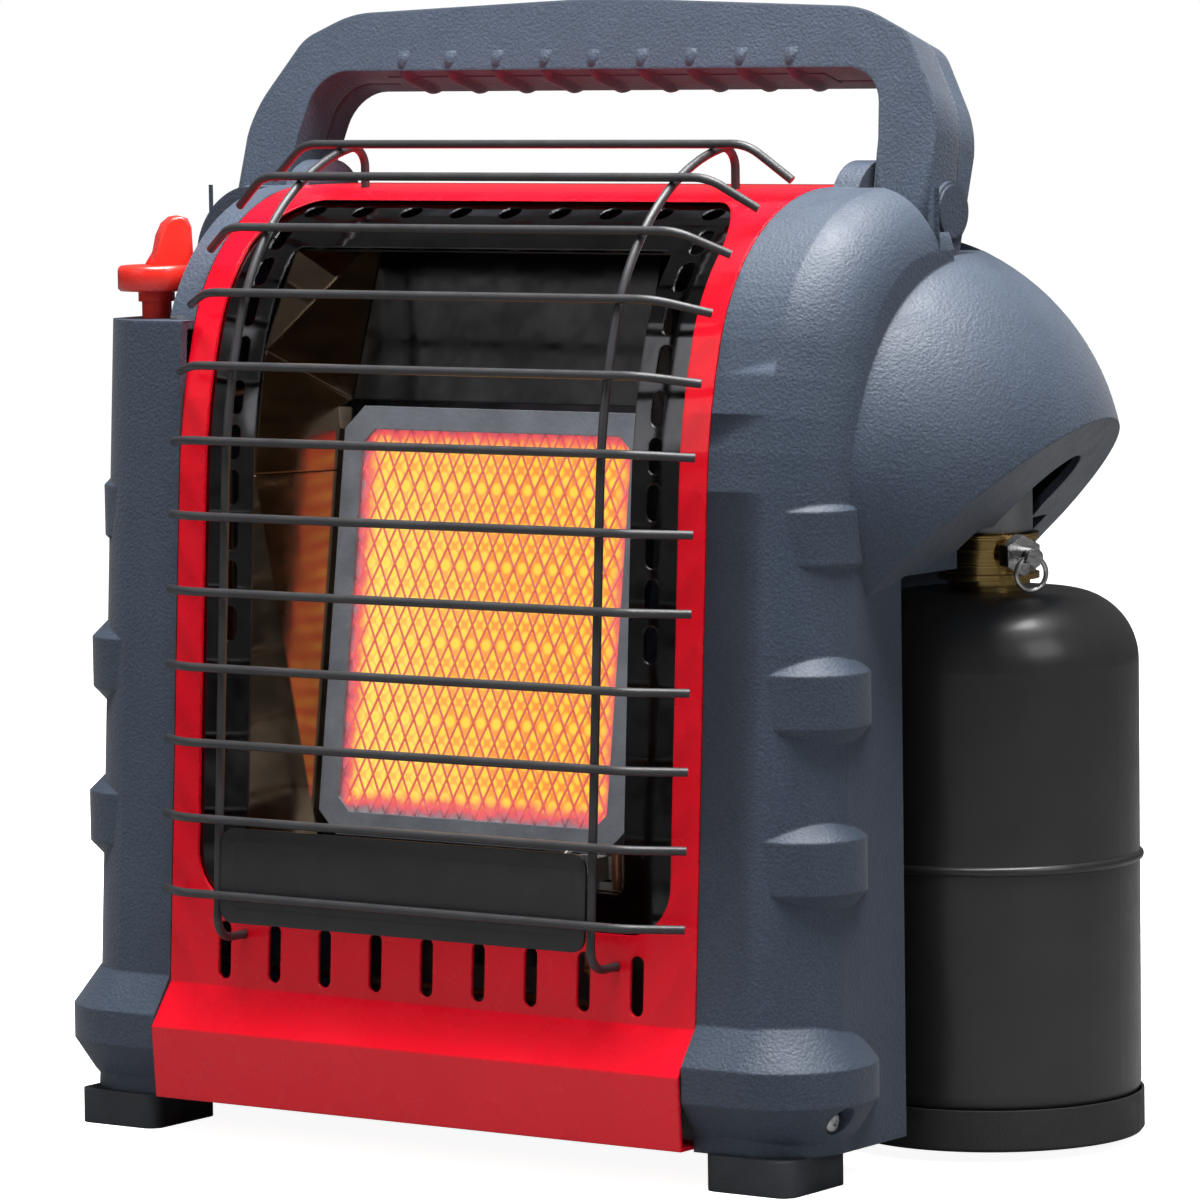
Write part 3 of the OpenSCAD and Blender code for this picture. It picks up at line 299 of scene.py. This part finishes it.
def screen_material():
    """Dark wire that glows red where the ceramic behind it is hot."""
    m = Mat("hot_screen")
    d = burner_mask(m)[0]
    m.set(color=(0.10, 0.08, 0.08), rough=0.55, metal=0.4)
    m.to(m.ramp(m.math("DIVIDE", d, GLOW_FADE),
                [(0.0, (0.02, 0.018, 0.02)), (0.14, (0.30, 0.03, 0.05)), (0.30, (0.82, 0.07, 0.09)),
                 (0.6, (0.72, 0.055, 0.035)), (1.0, (0.66, 0.06, 0.02))]), "Emission Color")
    m.b.inputs["Emission Strength"].default_value = 0.92
    m.to(m.ramp(m.noise(300, 3), [(0.3, (0.16, 0.14, 0.14)), (0.7, (0.25, 0.22, 0.23))]),
         "Base Color")
    m.bump(m.noise(900, 2), 0.0001)
    return m


def chrome_material(name, color, rough, wave):
    """Polished sheet, darkened by heat in patches, with waves of the height wave in metres."""
    m = Mat(name)
    m.set(color=color, rough=rough, metal=1.0)
    m.to(m.ramp(m.noise(45, 3), [(0.3, tuple(c * 0.75 for c in color)),
                                 (0.7, tuple(c * 1.2 for c in color))]), "Base Color")
    m.to(m.ramp(m.noise(120, 3), [(0.3, rough * 0.7), (0.75, rough * 1.8)]), "Roughness")
    m.bump(m.noise(22, 2, 0.4), wave, 1.0, soft=0.001)
    return m


def brass_material():
    """Brass with the fine rings that turning leaves."""
    m = Mat("turned_brass")
    m.set(rough=0.22, metal=1.0)
    ring = m.noise(1, 2, stretch=(3, 3, 2400))
    m.to(m.ramp(m.noise(50, 3), [(0.3, (0.46, 0.30, 0.10)), (0.7, (0.66, 0.46, 0.18))]),
         "Base Color")
    m.to(m.ramp(ring, [(0.3, 0.16), (0.7, 0.32)]), "Roughness")
    m.bump(ring, 0.00005, 0.7, soft=0.0006)
    return m


def cylinder_material():
    m = Mat("cylinder_enamel")
    m.set(rough=0.36, coat=0.25, coat_rough=0.2, spec=0.5)
    m.to(m.ramp(m.noise(40, 4), [(0.3, (0.017, 0.017, 0.018)), (0.7, (0.024, 0.0235, 0.025))]),
         "Base Color")
    m.to(m.ramp(m.noise(75, 4), [(0.3, 0.31), (0.7, 0.42)]), "Roughness")
    m.bump(m.noise(420, 2), 0.00007, 0.8)
    return m


M = {
    "shell": shell_material(),
    "red": red_material(),
    "guard": plain("guard_coat", (0.030, 0.030, 0.033), 0.42, vary=0.2, grain=(1300, 0.00007),
                   coat=0.15, coat_rough=0.3),
    "plate": plain("plate_coat", (0.020, 0.020, 0.022), 0.45, vary=0.15, grain=(1500, 0.00010),
                   soft=0.0008),
    "flange": chrome_material("dark_chrome", (0.10, 0.10, 0.105), 0.09, 0.0016),
    "walls": chrome_material("reflector_wall", (0.30, 0.22, 0.15), 0.07, 0.0003),
    # near-black metal colour is painted shade: it stands in for the dark reflections and shade inside
    # the reflector box
    "painted_shade_chrome": chrome_material("painted_shade_reflector", (0.030, 0.030, 0.031), 0.14, 0.0005),
    "case": plain("burner_steel", (0.27, 0.29, 0.33), 0.5, 0.65, vary=0.22, grain=(700, 0.0001)),
    "tile": tile_material(),
    "screen": screen_material(),
    "steel": plain("sheet_steel", (0.50, 0.50, 0.51), 0.36, 1.0),
    "ring": plain("bright_steel", (0.60, 0.60, 0.60), 0.22, 1.0, vary=0.1),
    "zinc": plain("zinc_cast", (0.24, 0.25, 0.26), 0.5, 0.75, vary=0.2, grain=(1100, 0.00016),
                  soft=0.0012),
    "brass": brass_material(),
    "copper": plain("copper_tube", (0.55, 0.27, 0.16), 0.32, 1.0, vary=0.2),
    "cyl": cylinder_material(),
    "black": plain("black_moulded", (0.022, 0.022, 0.024), 0.55, vary=0.15, grain=(1200, 0.0001)),
    "rubber": plain("foot_rubber", (0.030, 0.034, 0.041), 0.75, vary=0.18, grain=(1000, 0.00014),
                    soft=0.0012),
    "knob": plain("knob_red", (0.90, 0.030, 0.020), 0.26, vary=0.05, grain=(500, 0.00003),
                  soft=0.0008, coat=0.4, coat_rough=0.12),
    "back": plain("back_sheet", (0.028, 0.028, 0.030), 0.42, vary=0.15),
    "ceramic": plain("white_ceramic", (0.80, 0.77, 0.72), 0.35, vary=0.06),
}

LOOK = {
    "shell": "left_shell left_arch right_shell handle handle_liner handle_caps",
    "red": "front_panel",
    "back": "rear_panel",
    "steel": "base_pan heat_shield burner_plenum venturi_tube pilot_bracket pilot_burner"
             " handle_pins handle_washers shell_screws rear_screws",
    "flange": "reflector_frame",
    "walls": "reflector_sides",
    # reflector top and floor take the near-black metal with painted shade
    "painted_shade_chrome": "reflector_top reflector_floor",
    "case": "burner_case",
    "tile": "burner_tile",
    "screen": "burner_screen",
    "brass": "gas_orifice valve_stem cylinder_valve",
    "ceramic": "igniter_electrode",
    "copper": "thermocouple burner_gas_tube pilot_gas_tube main_gas_tube",
    "black": "tip_switch cylinder_foot",
    "zinc": "gas_valve regulator_body regulator_cap regulator_inlet",
    "knob": "knob_spindle knob",
    "rubber": "inlet_seal front_feet rear_feet",
    "cyl": "cylinder_body",
    "ring": "relief_valve relief_ring",
    "guard": "guard_bars guard_uprights",
    "plate": "guard_plate",
}
SHARP = 38  # degrees; edges sharper than this stay sharp


def bare(o, m):
    """Give a CAD node its one material and smooth shading."""
    o.data.materials.clear()
    o.data.materials.append(m.m)
    for p in o.data.polygons:
        p.material_index = 0
    o.data.shade_smooth()
    o.data.set_sharp_from_angle(angle=math.radians(SHARP))


for look, names in LOOK.items():
    for name in names.split():
        bare(nodes[name], M[look])


# ---------------------------------------------------------------- mesh helpers
def add(name, bm, mat, body, stands_for=(), angle=SHARP, smooth=True):
    me = bpy.data.meshes.new(name)
    bmesh.ops.recalc_face_normals(bm, faces=bm.faces)
    bm.to_mesh(me)
    bm.free()
    me.materials.append(M[mat].m)
    if smooth:
        me.shade_smooth()
        me.set_sharp_from_angle(angle=math.radians(angle))
    o = bpy.data.objects.new(name, me)
    scene.collection.objects.link(o)
    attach(o, body)
    if stands_for:
        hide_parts(*stands_for)
    return o


def soften(bm, edges, offset, segments, clamp=True):
    """Round edges by offset, in metres."""
    bmesh.ops.bevel(bm, geom=edges, offset=offset, segments=segments, profile=0.5,
                    affect="EDGES", clamp_overlap=clamp)


def prism(bm, pts, place, d0, d1):
    """Closed outline pts in a plane, from depth d0 to d1. Returns (front edges, back edges)."""
    a = [bm.verts.new(place(x, d0, z)) for x, z in pts]
    b = [bm.verts.new(place(x, d1, z)) for x, z in pts]
    bm.faces.new(a)
    bm.faces.new(b[::-1])
    pairs = [(i, (i + 1) % len(pts)) for i in range(len(pts))]
    for i, j in pairs:
        bm.faces.new((a[i], b[i], b[j], a[j]))
    return [[bm.edges.get((end[i], end[j])) for i, j in pairs] for end in (a, b)]


def lathe(bm, prof, place, seg=64):
    """prof of (radius, height), turned round a local z axis; radius 0 closes the end."""
    rings = []
    for r, z in prof:
        turns = [2 * math.pi * k / seg for k in range(seg)] if r else [0]
        rings.append([bm.verts.new(place(r * math.cos(t), r * math.sin(t), z)) for t in turns])
    for a, b in zip(rings, rings[1:]):
        for k in range(seg):
            j = (k + 1) % seg
            bm.faces.new((a[k], a[j], b[0]) if len(b) == 1 else (a[k], a[j], b[j], b[k]))


def fillet(a, b, c, r, n=9):
    """Points of the arc of radius r that rounds the corner b between a and c."""
    a, b, c = Vector(a), Vector(b), Vector(c)
    u, v = (a - b).normalized(), (c - b).normalized()
    half = math.acos(max(-1, min(1, u.dot(v)))) / 2
    m = b + (u + v).normalized() * r / math.sin(half)
    s = math.copysign(1, u.x * v.y - u.y * v.x)
    a0 = math.atan2(-s * u.x, s * u.y)
    return [(m.x + r * math.cos(a0 - s * (math.pi - 2 * half) * i / n),
             m.y + r * math.sin(a0 - s * (math.pi - 2 * half) * i / n)) for i in range(n + 1)]


def rounded(w, h, r, cz, n=6):
    """Rectangle w by h with corners of radius r, centred at height cz."""
    out = []
    for sx, sz, a in ((1, 1, 0), (-1, 1, 90), (-1, -1, 180), (1, -1, 270)):
        for i in range(n + 1):
            t = a + 90 * i / n
            out.append((sx * (w / 2 - r) + r * dcos(t), cz + sz * (h / 2 - r) + r * dsin(t)))
    return out


# ---------------------------------------------------------------- carrying handle
def handle():
    """Two moulded halves that meet at a seam a little behind the middle of the bar."""
    top, under = BAR_RISE + BAR_HALF, BAR_RISE - BAR_HALF
    foot, seam, seam_half = -16.5, 3.0, 0.12
    out = [(149.5, -20), (144.5, 32), (127.5, top - 12.7), (108, top - 3.7), (0, top + 0.8)]
    inn = [(123, -20), (123, 20), (118.5, under), (0, under)]
    right_out = [(149.2, foot)] + fillet(*out[0:3], 40) + fillet(*out[1:4], 15) \
        + fillet(*out[2:5], 40) + [out[4]]
    right_in = [(123, foot)] + fillet(*inn[0:3], 30, 4) + fillet(*inn[1:4], 15)

    def flip(p): return [(-x, z) for x, z in reversed(p)]

    line = right_out + flip(right_out)[1:] + flip(right_in)[::-1] + right_in[::-1]
    for name, d0, d1, big, small in (("handle_front", -GRIP_D / 2, seam - seam_half, 0, 1),
                                     ("handle_back", seam + seam_half, GRIP_D / 2, 1, 0)):
        bm = bmesh.new()
        ends = prism(bm, line, raised, d0, d1)
        soften(bm, ends[big], GRIP_ROUND / 1000, 7, clamp=False)
        soften(bm, [e for e in ends[small] if e.is_valid], 0.0005, 2)
        add(name, bm, "shell", "handle_assembly", ("handle",), angle=50)


def grip_ribs():
    """Finger ribs that wrap under the hand bar and up its rounded front, on a shallow strip."""
    bm = bmesh.new()
    under = BAR_RISE - BAR_HALF
    strip_x, strip_y = 92.5, 5.6
    prism(bm, [(-strip_x, under - 0.3), (strip_x, under - 0.3), (strip_x, under + 1.5),
               (-strip_x, under + 1.5)], raised, -strip_y, strip_y)
    count, pitch, height, sunk, steps = 9, 20.5, 2.9, 0.12, 7  # steps: rows in a quarter turn
    # a rib's section: (along the bar, share of the height)
    across = [(-5.0, 0.0), (-3.2, 0.12), (-2.2, 0.55), (-1.3, 0.9), (0, 1.0),
              (1.3, 0.9), (2.2, 0.55), (3.2, 0.12), (5.0, 0.0)]
    for i in range(count):
        x = (i - (count - 1) / 2) * pitch
        rows = []
        for k in range(2 * steps + 1):
            a = 90 * k / steps  # 0 at the front face, 90 under the bar, 180 at the back
            rise = height * min(1, max(0, dsin(min(a, 180 - a)) * 1.25 + 0.12))
            cy = (-1 if a <= 90 else 1) * (GRIP_D / 2 - GRIP_ROUND)
            row = []
            for along, share in across:
                r = GRIP_ROUND - sunk + rise * share
                row.append(bm.verts.new(raised(x + along, cy - r * dcos(a),
                                               under + GRIP_ROUND - r * dsin(a))))
            rows.append(row)
        for a, b in zip(rows, rows[1:]):
            for k in range(len(across) - 1):
                bm.faces.new((a[k], a[k + 1], b[k + 1], b[k]))
    add("grip_ribs", bm, "shell", "handle_assembly", ("handle_liner",), angle=60)


# ---------------------------------------------------------------- burner screen
def burner_screen():
    """Two families of slanting wires, one in front of the other."""
    bm = bmesh.new()
    half_w, half_h, wire_half, thick, pitch, shortest = 60.5, 70.0, 0.42, 0.3, 6.3, 1
    reach_slope = math.tan(math.radians(25.5))
    reach = half_w + half_h * reach_slope
    for slope, depth in ((reach_slope, 1.45), (-reach_slope, 1.75)):
        c = -reach
        while c < reach:
            # the line x = c + slope * z, cut to the frame
            za, zb = sorted(((-half_w - c) / slope, (half_w - c) / slope))
            z0, z1 = max(-half_h, za), min(half_h, zb)
            x0, x1 = c + slope * z0, c + slope * z1
            if z1 - z0 >= shortest:
                prism(bm, [(x0 - wire_half, z0), (x0 + wire_half, z0), (x1 + wire_half, z1),
                           (x1 - wire_half, z1)], burner_local, depth, depth + thick)
            c += pitch
    add("diamond_screen", bm, "screen", "housing", ("burner_screen",), smooth=False)


# ---------------------------------------------------------------- knob
def knob():
    """A round base with a skirt over the spindle, and a lever that stands on it."""
    def at(x, y, z):
        c, s = dcos(KNOB_SET), dsin(KNOB_SET)
        return W(KNOB_C[0] + x * c - y * s, KNOB_C[1] + x * s + y * c, z)
    base, skirt = STEP_Z + 9.5, STEP_Z + 5.8
    bore_r, skirt_r, base_r, base_h = 5.25, 6.4, 13.5, 9.0
    bm = bmesh.new()
    lathe(bm, [(bore_r, skirt), (skirt_r, skirt), (skirt_r, base - 0.6), (7.4, base), (12.6, base),
               (base_r, base + 0.9), (base_r, base + 7.2), (13.2, base + 8.2), (12.3, base + 8.9),
               (11.0, base + base_h), (0, base + base_h)], at, 72)
    add("knob_base", bm, "knob", "knob", ("knob",), angle=50)
    bm = bmesh.new()
    foot = base + 7.4  # clear of the stem's top when the knob is pushed in
    lever_half, lever_round = 7.3, 0.0024
    pts = [(12.4, foot), (12.6, base + 8), (12.0, base + 22), (10.6, base + 25.2), (8.2, base + 26),
           (5.4, base + 25.6), (2.6, base + 23.4), (0.6, base + 19), (-0.6, base + 13),
           (-1.8, base + 8.6), (-2.4, base + 8.0), (-2.4, foot)]
    front, back = prism(bm, pts, at, -lever_half, lever_half)
    upper = [e for e in front + back if max(v.co.z for v in e.verts) > (foot + 0.1) / 1000]
    soften(bm, upper, lever_round, 5)
    add("knob_lever", bm, "knob", "knob", angle=50)


# ---------------------------------------------------------------- left side
def left_side():
    """The left shell and its arch as one moulding, without the joint between them."""
    joint, near_joint, weld = (STEP_Z + 0.31) / 1000, 0.00004, 0.00008
    bm = bmesh.new()
    for name in ("left_shell", "left_arch"):
        part = nodes[name]
        copy = part.data.copy()
        copy.transform(part.matrix_world)
        bm.from_mesh(copy)
        bpy.data.meshes.remove(copy)

    def near(v): return abs(v.co.z - joint) < near_joint

    faces = [f for f in bm.faces if all(near(v) for v in f.verts)]
    bmesh.ops.delete(bm, geom=faces, context="FACES")
    bmesh.ops.remove_doubles(bm, verts=[v for v in bm.verts if near(v)], dist=weld)
    add("left_side", bm, "shell", "housing", ("left_shell", "left_arch"))


# ---------------------------------------------------------------- guard plate
def guard_plate():
    """The plate at the guard's foot, blank, with a plain pressed border."""
    bm = bmesh.new()
    z_low, z_high, width, half_t, out = 75.8, 108.2, 152.4, 0.5, 15.7
    h, cz = z_high - z_low, (z_low + z_high) / 2

    def place(x, d, z): return leaned(x, out - d, z)

    front = prism(bm, rounded(width, h, 5, cz), place, -half_t, half_t)[0]
    soften(bm, front, 0.00045, 3, clamp=False)
    foot_d, crest_d = -0.45, -0.62
    outer, inner = rounded(width - 9, h - 8, 3.4, cz), rounded(width - 12, h - 11, 2.6, cz)
    crest = [((a[0] + b[0]) / 2, (a[1] + b[1]) / 2) for a, b in zip(outer, inner)]
    rings = [[bm.verts.new(place(x, d, z)) for x, z in line]
             for line, d in ((outer, foot_d), (crest, crest_d), (inner, foot_d))]
    n = len(outer)
    for a, b in zip(rings, rings[1:]):
        for i in range(n):
            bm.faces.new((a[i], a[(i + 1) % n], b[(i + 1) % n], b[i]))
    add("guard_blank_plate", bm, "plate", "housing", ("guard_plate",), angle=50)


# ---------------------------------------------------------------- screws
def screws():
    """Pan heads on the two sides, with a dimple in each."""
    bm = bmesh.new()
    sunk = 0.9
    head = [(4.1, 0), (4.1, 0.9), (3.7, 1.7), (2.6, 2.35), (1.9, 2.5), (1.6, 1.6), (0, 1.1)]
    for side, y in ((1, -66), (-1, -66), (-1, 78)):
        def at(a, b, out, side=side, y=y):
            return W(side * (BODY_HW - sunk + out), y + a, SCREW_Z + b)
        lathe(bm, head, at, 40)
    add("side_screw_heads", bm, "steel", "housing", ("shell_screws",), angle=45)


handle()
grip_ribs()
burner_screen()
knob()
left_side()
guard_plate()
screws()


# ---------------------------------------------------------------- floor and light
FLOOR_HALF = 14  # metres
FLOOR_SEEN, FLOOR_BOUNCE, FLOOR_GLOW = 0.80, 0.17, 0.93  # tone to the camera, to light, its glow
WORLD_DIFFUSE, WORLD_GLOSSY = 0.13, 0.10  # the backdrop's strength as a light; white when seen
# name, place, aim, size, watts
LAMPS = (
    ("overhead", (0.15, -0.1, 1.75), (0, 0, 0.2), (1.3, 1.1), 96),
    ("key_right", (2.0, -0.4, 1.3), (0, 0, 0.2), (1.0, 1.0), 9),
    ("front_fill", (-0.9, -2.2, 1.2), (0, 0, 0.15), (1.6, 1.2), 6),
)


def math_node(t, op, a, b):
    """a is an output; b is an output or a number."""
    x = t.nodes.new("ShaderNodeMath")
    x.operation = op
    t.links.new(a, x.inputs[0])
    if isinstance(b, float):
        x.inputs[1].default_value = b
    else:
        t.links.new(b, x.inputs[1])
    return x.outputs[0]


def switch(t, ray, no, yes):
    """The value yes for rays of this kind and no for the others."""
    x = t.nodes.new("ShaderNodeMapRange")
    t.links.new(ray, x.inputs["Value"])
    x.inputs["To Min"].default_value = no
    x.inputs["To Max"].default_value = yes
    return x.outputs[0]


def stage():
    s = FLOOR_HALF
    bm = bmesh.new()
    bm.faces.new([bm.verts.new((x, y, 0)) for x, y in ((-s, -s), (s, -s), (s, s), (-s, s))])
    me = bpy.data.meshes.new("floor")
    bm.to_mesh(me)
    bm.free()
    floor = bpy.data.objects.new("floor", me)
    scene.collection.objects.link(floor)
    m = bpy.data.materials.new("floor")
    m.use_nodes = True
    t = m.node_tree
    b = t.nodes["Principled BSDF"]
    b.inputs["Roughness"].default_value = 0.9
    b.inputs["Emission Color"].default_value = (1, 1, 1, 1)
    seen = t.nodes.new("ShaderNodeLightPath").outputs["Is Camera Ray"]
    t.links.new(switch(t, seen, FLOOR_BOUNCE, FLOOR_SEEN), b.inputs["Base Color"])
    t.links.new(math_node(t, "MULTIPLY", seen, FLOOR_GLOW), b.inputs["Emission Strength"])
    me.materials.append(m)

    scene.world = bpy.data.worlds.new("world")
    scene.world.use_nodes = True
    t = scene.world.node_tree
    bg = t.nodes["Background"]
    bg.inputs["Color"].default_value = (1, 1, 1, 1)
    rays = t.nodes.new("ShaderNodeLightPath").outputs
    seen = math_node(t, "MAXIMUM", rays["Is Camera Ray"], rays["Is Transmission Ray"])
    soft = switch(t, rays["Is Glossy Ray"], WORLD_DIFFUSE, WORLD_GLOSSY)
    t.links.new(math_node(t, "MAXIMUM", seen, soft), bg.inputs["Strength"])

    for name, loc, aim, size, power in LAMPS:
        d = bpy.data.lights.new(name, "AREA")
        d.shape = "RECTANGLE"
        d.size, d.size_y = size
        d.energy = power
        o = bpy.data.objects.new(name, d)
        scene.collection.objects.link(o)
        o.location = loc
        o.rotation_euler = (Vector(aim) - Vector(loc)).to_track_quat("-Z", "Y").to_euler()


stage()
scene.view_settings.view_transform = "Standard"
